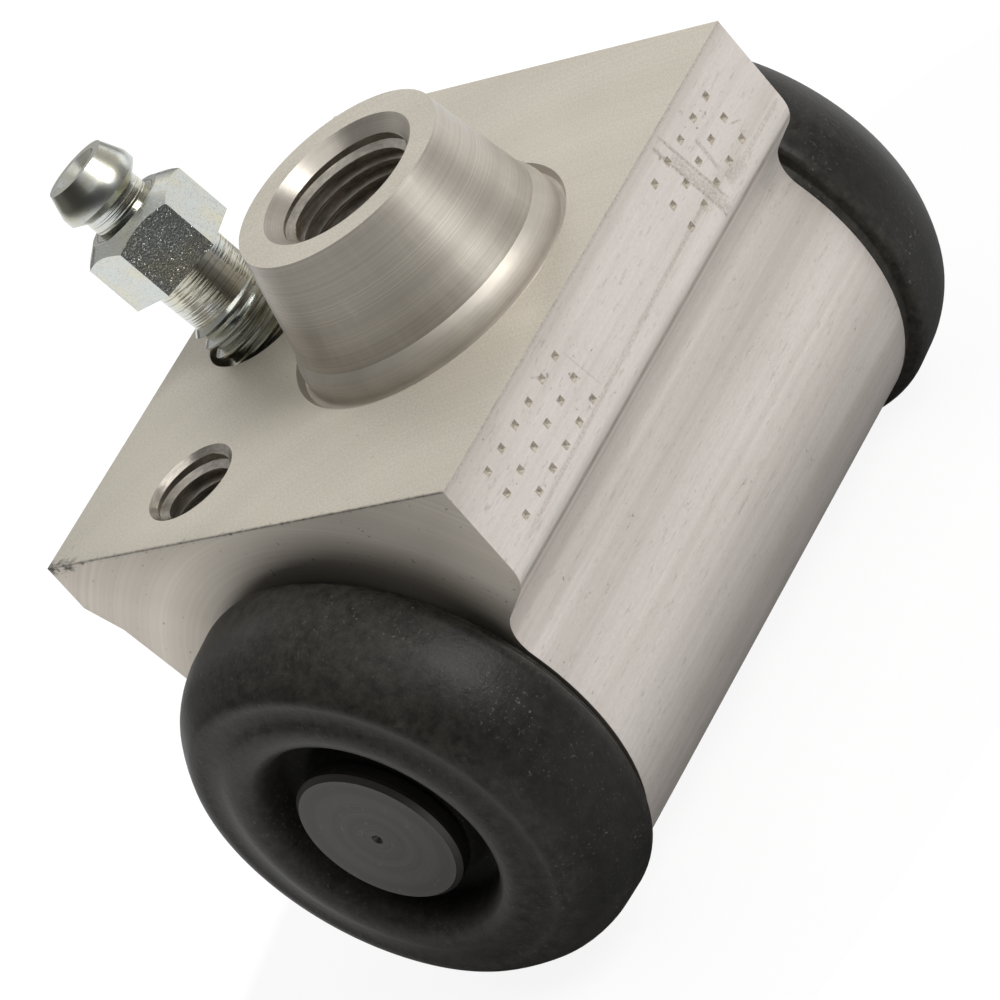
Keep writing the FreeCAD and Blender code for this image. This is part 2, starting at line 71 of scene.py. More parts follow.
# Bare lengths are in millimetres, and those times MM in metres. The origin is where the boss's axis meets the
# mounting face: +Z leaves the face, X runs along the bore.
MM = 0.001
MERGE, THREAD_MERGE = 1e-4 * MM, 1e-3 * MM
ON_PLANE = 0.01
BORE_AXIS = Vector((0, 4.1, -20.1)) * MM
BODY_END = 20.9
FLANGE_NEAR, FLANGE_FAR = -14.3, 23.8
BOSS_TOP = 10.05
BAND_TOP, BAND_INSIDE = 1.9, 9.5
BLEED_PORT = Vector((0, 16.9, 0)) * MM
BLEED_TILT = math.radians(13)
BLEED_AXIS = Vector((0, math.sin(BLEED_TILT), math.cos(BLEED_TILT)))
BARB_FOOT = 13.1
BOLT_HOLES = (Vector((-15, 13.5, 0)) * MM, Vector((15, 13.5, 0)) * MM)
THREAD_WALL = 0.15
X_AXIS = Vector((1, 0, 0))
Z_AXIS = Vector((0, 0, 1))


def linear(code):
    """Turn an sRGB hex colour into the linear values that the shaders take."""
    values = [int(code[place:place + 2], 16) / 255 for place in (1, 3, 5)]
    return [value / 12.92 if value <= 0.04045 else ((value + 0.055) / 1.055) ** 2.4 for value in values]


# settings that a user would change
class BodySettings(bpy.types.PropertyGroup):
    extruded_colour: bpy.props.FloatVectorProperty(
        name="Extruded colour", description="Aluminium as it leaves the extrusion die",
        subtype="COLOR", min=0, max=1, default=linear("#CFC8C2"))
    milled_colour: bpy.props.FloatVectorProperty(
        name="Milled colour", description="Aluminium of the mounting face",
        subtype="COLOR", min=0, max=1, default=linear("#CBC4B6"))
    turned_colour: bpy.props.FloatVectorProperty(
        name="Turned colour", description="Aluminium of the boss and of the end faces",
        subtype="COLOR", min=0, max=1, default=linear("#C9C2B7"))
    edge_break: bpy.props.FloatProperty(
        name="Edge break", description="Width of the broken edge round the flange",
        subtype="DISTANCE", min=0, default=0.12 * MM)


class ThreadSettings(bpy.types.PropertyGroup):
    pitch: bpy.props.FloatProperty(
        name="Pitch", description="Pitch of the M10, M7 and M6 threads",
        subtype="DISTANCE", min=0.5 * MM, default=1.0 * MM)
    depth: bpy.props.FloatProperty(
        name="Depth", description="Height of the thread from root to crest",
        subtype="DISTANCE", min=0.1 * MM, default=0.54 * MM)


class BootSettings(bpy.types.PropertyGroup):
    rubber_colour: bpy.props.FloatVectorProperty(
        name="Rubber colour", description="Black moulded rubber",
        subtype="COLOR", min=0, max=1, default=linear("#10100E"))
    dust_colour: bpy.props.FloatVectorProperty(
        name="Dust colour", description="Pale dust and bloom on the rubber",
        subtype="COLOR", min=0, max=1, default=linear("#6C665F"))
    oval: bpy.props.FloatProperty(
        name="Oval", description="How far the soft wall of the boot is out of round",
        subtype="DISTANCE", min=0, default=0.16 * MM)


class PistonSettings(bpy.types.PropertyGroup):
    colour: bpy.props.FloatVectorProperty(
        name="Piston colour", description="Dark anodised aluminium of the pistons",
        subtype="COLOR", min=0, max=1, default=linear("#454240"))


class ScrewSettings(bpy.types.PropertyGroup):
    colour: bpy.props.FloatVectorProperty(
        name="Plating colour", description="Bright zinc plating of the bleed screw",
        subtype="COLOR", min=0, max=1, default=linear("#D5D5CB"))


class StageSettings(bpy.types.PropertyGroup):
    floor_colour: bpy.props.FloatVectorProperty(
        name="Floor colour", description="Pale floor under the part",
        subtype="COLOR", min=0, max=1, default=linear("#F4F4F4"))
    lens: bpy.props.FloatProperty(
        name="Lens", description="Focal length of the camera on a 36 mm sensor, in millimetres",
        min=1, default=277.322)
    key_power: bpy.props.FloatProperty(
        name="Key power", description="Power of the softbox above the camera",
        subtype="POWER", min=0, default=6.2)
    fill_power: bpy.props.FloatProperty(
        name="Fill power", description="Power of each softbox behind, beside and over the part",
        subtype="POWER", min=0, default=0.6)


# meshes
def finished_piece(shape, name, materials, body=None, stands_for=()):
    """Put a finished shape in the scene, riding on a body and standing for its solids."""
    mesh = bpy.data.meshes.new(name)
    shape.to_mesh(mesh)
    shape.free()
    for material in materials:
        mesh.materials.append(material)
    piece = bpy.data.objects.new(name, mesh)
    bpy.context.scene.collection.objects.link(piece)
    if body:
        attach(piece, body)
    if stands_for:
        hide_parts(*stands_for)
    return piece


def smooth_shading(shape, limit=32):
    """Shade smooth, but keep every edge sharper than limit degrees."""
    for face in shape.faces:
        face.smooth = True
    for edge in shape.edges:
        if len(edge.link_faces) == 2:
            edge.smooth = edge.calc_face_angle(0) < math.radians(limit)


def copy_of(node):
    """A merged copy of a solid's triangles, ready to finish."""
    shape = bmesh.new()
    shape.from_mesh(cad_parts[node].data)
    bmesh.ops.remove_doubles(shape, verts=shape.verts, dist=MERGE)
    for face in shape.faces:
        face.material_index = 0
    smooth_shading(shape)
    return shape


def about_bleed_axis(point):
    """How far up the bleed screw's axis a point lies, and the vector to it from that axis."""
    local = point - BLEED_PORT
    along = local.dot(BLEED_AXIS)
    return along, local - along * BLEED_AXIS


def rounded_outline(points, segments=6):
    """A closed outline in the XZ plane from (along, radius, reach of its rounded corner), in millimetres."""
    shape = bmesh.new()
    corners = [shape.verts.new((along * MM, 0, radius * MM)) for along, radius, reach in points]
    shape.faces.new(corners)
    for reach in sorted({point[2] for point in points if point[2] > 0}):
        chosen = [corner for corner, point in zip(corners, points) if point[2] == reach]
        bmesh.ops.bevel(
            shape, geom=chosen, offset=reach * MM, offset_type="OFFSET", segments=segments, profile=0.5,
            affect="VERTICES", material=-1)
    bmesh.ops.delete(shape, geom=shape.faces[:], context="FACES_ONLY")
    return shape


def spun_ring(points, steps=128):
    """Turn a closed outline about the X axis into a ring with its faces outwards."""
    shape = rounded_outline(points)
    bmesh.ops.spin(
        shape, geom=shape.verts[:] + shape.edges[:], cent=(0, 0, 0), axis=X_AXIS, dvec=(0, 0, 0),
        angle=math.tau, steps=steps, use_merge=True, use_duplicate=False)
    bmesh.ops.remove_doubles(shape, verts=shape.verts, dist=MERGE)
    bmesh.ops.recalc_face_normals(shape, faces=shape.faces)
    smooth_shading(shape, 50)
    return shape


def swept_thread(root, crest, pitch, turns, limit, steps=72):
    """Sweep one 60-degree thread ridge up its helix about Z, from z 0, with a thin wall behind it.

    limit gives the radius that the finished thread is cut to at a height: it trims an outside
    thread where root is under crest, and clears an inside one where root is over crest.
    """
    shape = bmesh.new()
    flat, flank = pitch / 8, pitch * 5 / 16
    corners = [
        (root, 0),
        (root, 2 * flat),
        (crest, 2 * flat + flank),
        (crest, 3 * flat + flank),
        (root, pitch),
    ]
    verts = [shape.verts.new((radius, 0, height)) for radius, height in corners]
    for below, above in zip(verts, verts[1:]):
        shape.edges.new((below, above))
    bmesh.ops.spin(
        shape, geom=shape.verts[:] + shape.edges[:], cent=(0, 0, 0), axis=Z_AXIS,
        dvec=(0, 0, pitch / steps), angle=math.tau * turns, steps=steps * turns, use_merge=False,
        use_duplicate=False)
    bmesh.ops.remove_doubles(shape, verts=shape.verts, dist=THREAD_MERGE)
    inside = root > crest
    for vert in shape.verts:
        radius = math.hypot(vert.co.x, vert.co.y)
        cut = limit(vert.co.z)
        wanted = max(radius, cut) if inside else min(radius, cut)
        vert.co.x *= wanted / radius
        vert.co.y *= wanted / radius
    bmesh.ops.recalc_face_normals(shape, faces=shape.faces)
    middle = max(shape.faces, key=lambda face: face.calc_area())
    spot = middle.calc_center_median()
    outward = Vector((spot.x, spot.y, 0)).dot(middle.normal) > 0
    if outward == inside:
        bmesh.ops.reverse_faces(shape, faces=shape.faces)
    bmesh.ops.solidify(shape, geom=shape.faces[:], thickness=THREAD_WALL * MM)
    smooth_shading(shape, 40)
    return shape


# nodes
def add(tree, kind, inputs=None, **settings):
    """Add a shader node with its settings, and set or link each of its inputs.

    Inputs go by name, or by number where a node repeats or hides names: Map Range numbers its value, the two
    values it comes from and the two it goes to. An input given as a node takes its first output in use.
    """
    made = tree.nodes.new("ShaderNode" + kind)
    for name, value in settings.items():
        setattr(made, name, value)
    for name, value in (inputs or {}).items():
        if isinstance(value, bpy.types.Node):
            value = next(output for output in value.outputs if output.enabled)
        if isinstance(value, bpy.types.NodeSocket):
            tree.links.new(value, made.inputs[name])
        else:
            made.inputs[name].default_value = value
    return made


def new_material(name):
    """An empty node material with its object coordinates."""
    material = bpy.data.materials.new(name)
    material.use_nodes = True
    tree = material.node_tree
    tree.nodes.clear()
    return material, tree, add(tree, "TexCoord").outputs["Object"]


def shade(values, factor):
    """A linear colour made darker or lighter."""
    return [value * factor for value in values]


def grain(tree, place, size_mm, detail=2.0, roughness=0.5):
    """Noise whose features are size_mm across; size_mm may differ along X, Y and Z."""
    sizes = size_mm if isinstance(size_mm, tuple) else (size_mm,) * 3
    stretched = add(tree, "VectorMath", {
        0: place, 1: [1 / (size * MM) for size in sizes]}, operation="MULTIPLY")
    return add(tree, "TexNoise", {
        "Vector": stretched, "Scale": 1.0, "Detail": detail, "Roughness": roughness})


def radius_about(tree, place, axis):
    """The distance from an axis through the centre of place, in metres."""
    across = add(tree, "VectorMath", {0: place, 1: Vector((1, 1, 1)) - axis}, operation="MULTIPLY")
    return add(tree, "VectorMath", {0: across}, operation="LENGTH")


def ring_distance(tree, place, axis):
    """How far round tool marks have come: the distance from an axis plus the distance along it, in metres."""
    radius = radius_about(tree, place, axis)
    along = add(tree, "VectorMath", {0: place, 1: axis}, operation="DOT_PRODUCT")
    return add(tree, "Math", {0: radius, 1: along}, operation="ADD")


def tool_marks(tree, distance, spacing_mm, detail=1.5):
    """Uneven lines left by a cutting edge, spacing_mm apart along a distance."""
    counted = add(tree, "Math", {0: distance, 1: 1 / (spacing_mm * MM)}, operation="MULTIPLY")
    return add(tree, "TexNoise", {"W": counted, "Scale": 1.0, "Detail": detail}, noise_dimensions="1D")


def shifted(tree, place, centre, turn=(0, 0, 0)):
    """Coordinates about another centre, in metres, turned by angles in degrees."""
    moved = add(tree, "VectorMath", {0: place, 1: centre}, operation="SUBTRACT")
    return add(tree, "Mapping", {
        "Vector": moved, "Rotation": [math.radians(angle) for angle in turn]}, vector_type="POINT")


def near(tree, value, level, inner, outer, strength=1.0):
    """Full strength within inner of a level and none from outer on, all in millimetres."""
    offset = add(tree, "Math", {0: value, 1: level * MM}, operation="SUBTRACT")
    away = add(tree, "Math", {0: offset}, operation="ABSOLUTE")
    return add(tree, "MapRange", {0: away, 1: inner * MM, 2: outer * MM, 3: strength, 4: 0})


def layered(tree, base, layers):
    """Lay tones over a base colour.

    Each layer is a pattern, the values between which its tone comes in, the tone's strength and the tone.
    """
    top = (*base, 1)
    for pattern, start, full, strength, tone in layers:
        share = add(tree, "MapRange", {0: pattern, 1: start, 2: full, 4: strength})
        top = add(tree, "Mix", {0: share, 6: top, 7: (*tone, 1)}, data_type="RGBA")
    return top


def finish_material(material, tree, base, roughness, relief, bump_mm, constants=None, tangent=None):
    """Close a material with its shader, bumped by the patterns in relief, each with its weight."""
    height = 0.0
    for pattern, weight in relief:
        height = add(tree, "Math", {0: pattern, 1: weight, 2: height}, operation="MULTIPLY_ADD")
    bump = add(tree, "Bump", {"Height": height, "Strength": 1.0, "Distance": bump_mm * MM})
    inputs = {"Base Color": base, "Roughness": roughness, "Normal": bump}
    if tangent:
        axis, place = tangent
        inputs["Tangent"] = add(tree, "VectorMath", {0: axis, 1: place}, operation="CROSS_PRODUCT")
    shader = add(tree, "BsdfPrincipled", inputs | (constants or {}))
    add(tree, "OutputMaterial", {"Surface": shader})
    return material


# Extruded 6000-series aluminium: faint die lines along X, a fine matte grain, a few handling specks and,
# on the flange's side, the marks that a clamp left. The etched grain is really finer than 0.14 mm and is
# drawn that coarse so that it shows.
def extruded_aluminium(settings):
    material, tree, place = new_material("extruded_aluminium")
    lines = grain(tree, place, (30, 0.2, 0.2), 3.0, 0.6)
    bands = grain(tree, place, (90, 2.2, 2.2), 3.0, 0.6)
    frost = grain(tree, place, (0.35, 0.14, 0.14), 2.0, 0.6)
    cloud = grain(tree, place, 6.0, 3.0)
    rubs = grain(tree, place, (1.4, 0.3, 0.3), 4.0, 0.75)
    patches = add(tree, "MapRange", {0: grain(tree, place, 6.0, 2.0), 1: 0.45, 2: 0.65})
    specks = add(tree, "MapRange", {0: grain(tree, place, (0.45, 0.3, 0.3), 1.0), 1: 0.73, 2: 0.78})
    specks = add(tree, "Math", {0: specks, 1: patches}, operation="MULTIPLY")
    marks = add(tree, "Math", {
        0: clamp_marks(tree, place), 1: root_line(tree, place)}, operation="MAXIMUM")
    pale = settings.extruded_colour
    base = layered(tree, pale, (
        (lines, 0.7, 0.3, 1.0, shade(pale, 0.93)),
        (frost, 0.65, 0.35, 0.12, linear("#8E8783")),
        (bands, 0.42, 0.66, 0.5, linear("#A79F94")),
        (cloud, 0.45, 0.7, 0.12, linear("#A9A19B")),
        (rubs, 0.58, 0.68, 0.45, linear("#938C84")),
        (specks, 0, 1, 0.6, linear("#4D4842")),
        (marks, 0, 1, 0.9, linear("#82796D")),
    ))
    roughness = add(tree, "MapRange", {0: bands, 1: 0.3, 2: 0.7, 3: 0.42, 4: 0.48})
    relief = ((lines, 1.0), (frost, 0.6), (marks, -1.2))
    return finish_material(material, tree, base, roughness, relief, 0.006, {"Metallic": 0.5})


# clamp marks on the flange's side: x, z, turn from Z in degrees, half length, half width, strength
CLAMP_MARKS = (
    (10.4, -4.3, 9.8, 4.1, 0.2, 0.9),
    (11.3, -4.0, 9.8, 3.8, 0.18, 0.8),
    (10.9, -5.2, 9.8, 3.4, 0.65, 0.55),
    (12.95, -4.4, -2.0, 1.5, 0.24, 0.6),
    (13.9, -6.9, 80.0, 1.2, 0.65, 0.6),
    (17.4, -6.95, 90.0, 3.4, 0.26, 0.5),
    (11.0, -7.8, 2.0, 0.9, 0.16, 0.9),
    (16.5, -5.0, 60.0, 0.6, 0.1, 0.8),
    (-9.3, -1.9, 45.0, 0.9, 0.12, 0.6),
    (-6.3, -4.3, 10.0, 2.0, 0.1, 0.4),
    (-3.0, -6.5, 92.0, 17.0, 0.26, 0.5),
)


def clamp_marks(tree, place):
    """Ragged grey marks on the plane of the flange's side, and wear along its upper edge."""
    parts = add(tree, "SeparateXYZ", {0: place})
    marks = near(tree, parts.outputs["Z"], 0, 0.1, 0.4, 0.6)
    for x, z, turn, half_length, half_width, strength in CLAMP_MARKS:
        local = shifted(tree, place, [x * MM, FLANGE_NEAR * MM, z * MM], (0, turn, 0))
        local = add(tree, "SeparateXYZ", {0: local})
        across = near(tree, local.outputs["X"], 0, 0.4 * half_width, half_width, strength)
        along = near(tree, local.outputs["Z"], 0, 0.8 * half_length, half_length)
        mark = add(tree, "Math", {0: across, 1: along}, operation="MULTIPLY")
        marks = add(tree, "Math", {0: marks, 1: mark}, operation="MAXIMUM")
    ragged = add(tree, "MapRange", {0: grain(tree, place, 0.22, 4.0, 0.8), 1: 0.36, 2: 0.62})
    for share in (near(tree, parts.outputs["Y"], FLANGE_NEAR, 0.15, 0.3), ragged):
        marks = add(tree, "Math", {0: marks, 1: share}, operation="MULTIPLY")
    return marks


def root_line(tree, place):
    """A thin dark line along the crease at the foot of the flange's rounding, above the barrel."""
    parts = add(tree, "SeparateXYZ", {0: place})
    line = near(tree, parts.outputs["Z"], -8.75, 0.08, 0.3, 0.8)
    outside = add(tree, "MapRange", {0: parts.outputs["Y"], 1: -13.2 * MM, 2: -12.9 * MM, 3: 1, 4: 0})
    uneven = grain(tree, place, (1.5, 0.3, 0.3), 3.0)
    uneven = add(tree, "MapRange", {0: uneven, 1: 0.3, 2: 0.6, 3: 0.5, 4: 1})
    for share in (outside, uneven):
        line = add(tree, "Math", {0: line, 1: share}, operation="MULTIPLY")
    return line


# Aluminium squeezed up by a clamp's teeth: the frosty floor and walls of the small square dents.
def dented_aluminium():
    material, tree, place = new_material("dented_aluminium")
    crushed = grain(tree, place, 0.22, 3.0, 0.7)
    base = layered(tree, linear("#C2BAAE"), ((crushed, 0.65, 0.35, 1.0, linear("#938B7D")),))
    return finish_material(material, tree, base, 0.55, ((crushed, 1.0),), 0.03, {"Metallic": 0.5})


# Face-milled aluminium: a matte warm face with faint arcs of the cutter and a fine even grain. The grain is
# really finer than 0.16 mm and is drawn that coarse so that it shows.
def milled_aluminium(settings):
    material, tree, place = new_material("milled_aluminium")
    swept = shifted(tree, place, [-38 * MM, -16 * MM, 0])
    distance = ring_distance(tree, swept, Z_AXIS)
    arcs = tool_marks(tree, distance, 0.35, 3.0)
    wide = tool_marks(tree, distance, 4.0, 2.0)
    frost = grain(tree, place, 0.16, 2.0)
    pale = settings.milled_colour
    base = layered(tree, pale, (
        (frost, 0.7, 0.3, 1.0, shade(pale, 0.78)),
        (arcs, 0.65, 0.35, 0.08, linear("#8F887B")),
        (wide, 0.35, 0.65, 0.10, linear("#A9A293")),
        (grain(tree, place, 9.0, 2.0), 0.35, 0.7, 0.12, linear("#E0DAC8")),
        (edge_nicks(tree, place), 0, 1, 0.8, linear("#3A3630")),
        (grain(tree, place, 0.5, 1.0), 0.74, 0.8, 0.35, linear("#6B655B")),
    ))
    roughness = add(tree, "MapRange", {0: wide, 1: 0.3, 2: 0.7, 3: 0.46, 4: 0.50})
    relief = ((arcs, 0.2), (frost, 1.0))
    return finish_material(material, tree, base, roughness, relief, 0.007, {"Metallic": 0.35})


def edge_nicks(tree, place):
    """The thin dark burr between the mounting face and the near end face, with nicks and a bruised corner."""
    offset = add(tree, "VectorMath", {
        0: place, 1: (1, 0, 1), 2: (BODY_END * MM, 0, 0)}, operation="MULTIPLY_ADD")
    reach = add(tree, "VectorMath", {0: offset}, operation="LENGTH")
    uneven = grain(tree, place, 0.5, 4.0, 0.75)
    corner = add(tree, "MapRange", {
        0: add(tree, "SeparateXYZ", {0: place}).outputs["Y"], 1: 20.9 * MM, 2: 21.6 * MM})
    nicks = 0.0
    for inner, outer, low, high, least, most, along in (
            (0.07, 0.16, 0.3, 0.6, 0.2, 0.8, 1.0),
            (0.2, 0.36, 0.60, 0.66, 0, 1, 1.0),
            (0.35, 0.75, 0.44, 0.56, 0, 1, corner)):
        near_edge = add(tree, "MapRange", {0: reach, 1: inner * MM, 2: outer * MM, 3: 1, 4: 0})
        broken = add(tree, "MapRange", {0: uneven, 1: low, 2: high, 3: least, 4: most})
        mark = add(tree, "Math", {0: near_edge, 1: broken}, operation="MULTIPLY")
        mark = add(tree, "Math", {0: mark, 1: along}, operation="MULTIPLY")
        nicks = add(tree, "Math", {0: nicks, 1: mark}, operation="MAXIMUM")
    return nicks


# Trepanned aluminium: the tool that cuts the neck leaves arcs about the bore's axis on each end face, and the
# face is painted darker round the boot, as painted shade and painted reflection of the black boot.
def faced_aluminium(settings):
    material, tree, place = new_material("faced_aluminium")
    local = shifted(tree, place, BORE_AXIS)
    distance = ring_distance(tree, local, X_AXIS)
    arcs = tool_marks(tree, distance, 0.30, 3.0)
    # painted shade: the end face darkens towards the boot, for the boot's shade and its dark reflection
    painted_boot_shade = radius_about(tree, local, X_AXIS)
    pale = settings.turned_colour
    base = layered(tree, pale, (
        (arcs, 0.7, 0.3, 1.0, shade(pale, 0.90)),
        (tool_marks(tree, distance, 1.7, 2.0), 0.4, 0.6, 0.16, linear("#9A9186")),
        (painted_boot_shade, 19.5 * MM, 15 * MM, 0.55, linear("#544C45")),
        (edge_nicks(tree, place), 0, 1, 0.9, linear("#2E2A26")),
        (grain(tree, place, 0.45, 1.0), 0.72, 0.78, 0.5, linear("#5A544B")),
    ))
    relief = ((arcs, 1.0), (grain(tree, place, 0.2, 2.0), 0.4))
    return finish_material(
        material, tree, base, 0.50, relief, 0.004,
        {"Metallic": 1.0, "Anisotropic": 0.7, "Anisotropic Rotation": 0.25}, (X_AXIS, local))


# Lathe-turned aluminium: close rings about the boss that draw bright glints down the cone, and pale streaks
# down it that are painted glints.
def turned_aluminium(settings):
    material, tree, place = new_material("turned_aluminium")
    distance = ring_distance(tree, place, Z_AXIS)
    fine = tool_marks(tree, distance, 0.09, 2.0)
    wide = tool_marks(tree, distance, 0.9, 3.0)
    pale = settings.turned_colour
    base = layered(tree, pale, (
        (fine, 0.7, 0.3, 1.0, shade(pale, 0.82)),
        (wide, 0.35, 0.65, 0.18, linear("#938B82")),
        # pale streaks down the cone: painted glints
        (grain(tree, place, (0.5, 0.5, 9), 2.0), 0.5, 0.8, 0.12, linear("#F0EAE0")),
    ))
    return finish_material(
        material, tree, base, 0.40, ((fine, 1.0), (wide, 0.5)), 0.006,
        {"Metallic": 0.9, "Anisotropic": 0.65, "Anisotropic Rotation": 0.25}, (Z_AXIS, place))


# Form-tool finish on the band at the boss's foot: smoother and glossier than the cone above it.
def burnished_aluminium(settings):
    material, tree, place = new_material("burnished_aluminium")
    fine = tool_marks(tree, ring_distance(tree, place, Z_AXIS), 0.16, 2.0)
    pale = shade(settings.turned_colour, 0.94)
    base = layered(tree, pale, (
        (fine, 0.7, 0.3, 1.0, shade(pale, 0.9)),
        (grain(tree, place, 2.2, 2.0), 0.4, 0.7, 0.2, linear("#E9E2D6")),
    ))
    return finish_material(
        material, tree, base, 0.55, ((fine, 1.0),), 0.003,
        {"Metallic": 0.75, "Anisotropic": 0.3, "Anisotropic Rotation": 0.25}, (Z_AXIS, place))


# Tapped and drilled aluminium: bright crests, and fine chatter and brownish patches that darken it at random.
def tapped_aluminium(settings):
    material, tree, place = new_material("tapped_aluminium")
    chatter = grain(tree, place, (0.5, 0.5, 0.12), 2.0)
    pale = settings.turned_colour
    base = layered(tree, pale, (
        (chatter, 0.7, 0.3, 1.0, shade(pale, 0.7)),
        (grain(tree, place, 1.6, 3.0), 0.45, 0.7, 0.35, linear("#6F675C")),
    ))
    return finish_material(material, tree, base, 0.30, ((chatter, 1.0),), 0.008, {"Metallic": 1.0})


# Honed bore: a cross-hatched, nearly mirror-bright wall.
def honed_aluminium(settings):
    material, tree, place = new_material("honed_aluminium")
    hatch = grain(tree, shifted(tree, place, BORE_AXIS), (0.2, 0.9, 0.9), 2.0)
    pale = settings.turned_colour
    base = layered(tree, pale, ((hatch, 0.7, 0.3, 1.0, shade(pale, 0.85)),))
    return finish_material(material, tree, base, 0.22, ((hatch, 1.0),), 0.003, {"Metallic": 1.0})


# Moulded EPDM rubber: satin black with a fine orange-peel skin, pale dust in its pores, scuffs, a faint brown
# bloom on its proud edges that also paints a highlight on its top and bottom, and a duller lip in its mouth.
def moulded_rubber(settings, side):
    material, tree, place = new_material("moulded_rubber_" + ("left" if side < 0 else "right"))
    local = shifted(tree, place, [side * BODY_END * MM, BORE_AXIS.y, BORE_AXIS.z])
    parts = add(tree, "SeparateXYZ", {0: local})
    outward = add(tree, "Math", {0: parts.outputs["X"], 1: side}, operation="MULTIPLY")
    height = parts.outputs["Z"]
    peel = grain(tree, place, 0.28, 3.0, 0.6)
    mottle = grain(tree, place, 0.9, 5.0, 0.75)
    dust = add(tree, "MapRange", {0: grain(tree, place, 0.26, 3.0, 0.7), 1: 0.60, 2: 0.72})
    drift = add(tree, "MapRange", {0: grain(tree, place, 4.5, 4.0, 0.6), 1: 0.44, 2: 0.62})
    # pale bloom on the proud rims, and on the boot's top and bottom as a painted highlight
    proud_and_lit = 0.0
    for value, start, full, least in (
            (outward, 6.6, 8.8, 0), (outward, 2.4, 1.0, 0), (height, 2, 15, 0.2), (height, -9, -14, 0)):
        edge = add(tree, "MapRange", {0: value, 1: start * MM, 2: full * MM, 3: least})
        proud_and_lit = add(tree, "Math", {0: proud_and_lit, 1: edge}, operation="MAXIMUM")
    bloom = add(tree, "MapRange", {0: mottle, 1: 0.35, 2: 0.65, 3: 0.07, 4: 0.22})
    black, dusty = settings.rubber_colour, settings.dust_colour
    base = layered(tree, shade(black, 1.4), (
        (mottle, 0.65, 0.35, 1.0, shade(black, 0.8)),
        (add(tree, "Math", {0: proud_and_lit, 1: bloom}, operation="MULTIPLY"), 0, 1, 1.0, dusty),
        (add(tree, "Math", {0: dust, 1: drift}, operation="MULTIPLY"), 0, 1, 0.7, dusty),
        (grain(tree, place, (0.4, 1.6, 0.8), 5.0, 0.75), 0.60, 0.74, 0.14, dusty),
    ))
    roughness = add(tree, "MapRange", {0: mottle, 1: 0.3, 2: 0.7, 3: 0.38, 4: 0.46})
    mouth = add(tree, "MapRange", {0: radius_about(tree, local, X_AXIS), 1: 9 * MM, 2: 8 * MM, 4: 0.4})
    roughness = add(tree, "Math", {0: roughness, 1: mouth}, operation="ADD")
    return finish_material(material, tree, base, roughness, ((peel, 1.0), (mottle, 0.4)), 0.025, {
        "IOR": 1.52, "Specular IOR Level": 0.15})


# Moulded nitrile cup: smooth, faintly glossy black.
def cup_rubber():
    material, tree, place = new_material("cup_rubber")
    peel = grain(tree, place, 0.5, 2.0)
    base = layered(tree, linear("#23221F"), ((peel, 1, 0, 1.0, linear("#141413")),))
    return finish_material(material, tree, base, 0.42, ((peel, 1.0),), 0.01, {"IOR": 1.52})


# Dark anodised, turned aluminium: rings on the nose's end face about the centre mark.
def anodised_aluminium(settings):
    material, tree, place = new_material("anodised_aluminium")
    distance = ring_distance(tree, shifted(tree, place, BORE_AXIS), X_AXIS)
    rings = tool_marks(tree, distance, 0.16, 2.0)
    dark = settings.colour
    base = layered(tree, dark, (
        (rings, 0.7, 0.3, 1.0, shade(dark, 0.8)),
        (tool_marks(tree, distance, 1.1, 2.0), 0.4, 0.6, 0.25, shade(dark, 1.5)),
        (grain(tree, place, 0.9, 4.0, 0.7), 0.6, 0.75, 0.25, linear("#807A74")),
    ))
    return finish_material(material, tree, base, 0.46, ((rings, 1.0),), 0.008, {"Metallic": 0.85})


# Bright zinc plating with a thin clear passivation: cool white metal with faint blue and straw patches.
def zinc_plating(settings, turned):
    material, tree, place = new_material("zinc_on_turned_steel" if turned else "zinc_on_drawn_hexagon")
    speckle = grain(tree, place, 0.13, 2.0, 0.6)
    tint = grain(tree, place, 2.4, 2.0)
    bright = settings.colour
    layers = [
        (speckle, 1, 0, 1.0, shade(bright, 0.8)),
        (tint, 0.45, 0.62, 0.35, linear("#C3CED6")),
        (tint, 0.50, 0.36, 0.35, linear("#D6D0B0")),
    ]
    if not turned:
        sparks = add(tree, "MapRange", {0: grain(tree, place, 0.16, 1.0), 1: 0.60, 2: 0.68})
        relief = ((speckle, 1.0), (sparks, 1.0))
        return finish_material(
            material, tree, layered(tree, bright, layers), 0.21, relief, 0.009, {"Metallic": 1.0})
    local = shifted(tree, place, BLEED_PORT, (math.degrees(BLEED_TILT), 0, 0))
    height = add(tree, "SeparateXYZ", {0: local}).outputs["Z"]
    on_barb = add(tree, "MapRange", {0: height, 1: BARB_FOOT * MM, 2: (BARB_FOOT + 0.3) * MM})
    rings = tool_marks(tree, ring_distance(tree, local, Z_AXIS), 0.16, 1.0)
    rings = add(tree, "Mix", {0: on_barb, 2: rings, 3: 0.5})
    layers.append((grain(tree, place, 0.7, 4.0, 0.7), 0.6, 0.72, 0.35, linear("#5E5A50")))
    layers.append((rings, 0.45, 0.3, 0.45, linear("#6B6658")))
    roughness = add(tree, "Mix", {0: on_barb, 2: 0.18, 3: 0.29})
    relief = ((rings, 1.0), (speckle, 0.3))
    return finish_material(
        material, tree, layered(tree, bright, layers), roughness, relief, 0.018, {"Metallic": 1.0})


# Pressed low-carbon steel and drawn spring wire: grey, faintly streaked.
def plain_steel(name, code, along_mm):
    material, tree, place = new_material(name)
    streak = grain(tree, place, along_mm, 3.0)
    base = layered(tree, linear(code), ((streak, 1, 0, 1.0, shade(linear(code), 0.7)),))
    return finish_material(material, tree, base, 0.34, ((streak, 1.0),), 0.006, {"Metallic": 1.0})


# regions of the body's surface, in the order of its materials
EXTRUDED, DENTED, MILLED, FACED, TURNED, BURNISHED, TAPPED, HONED = range(8)
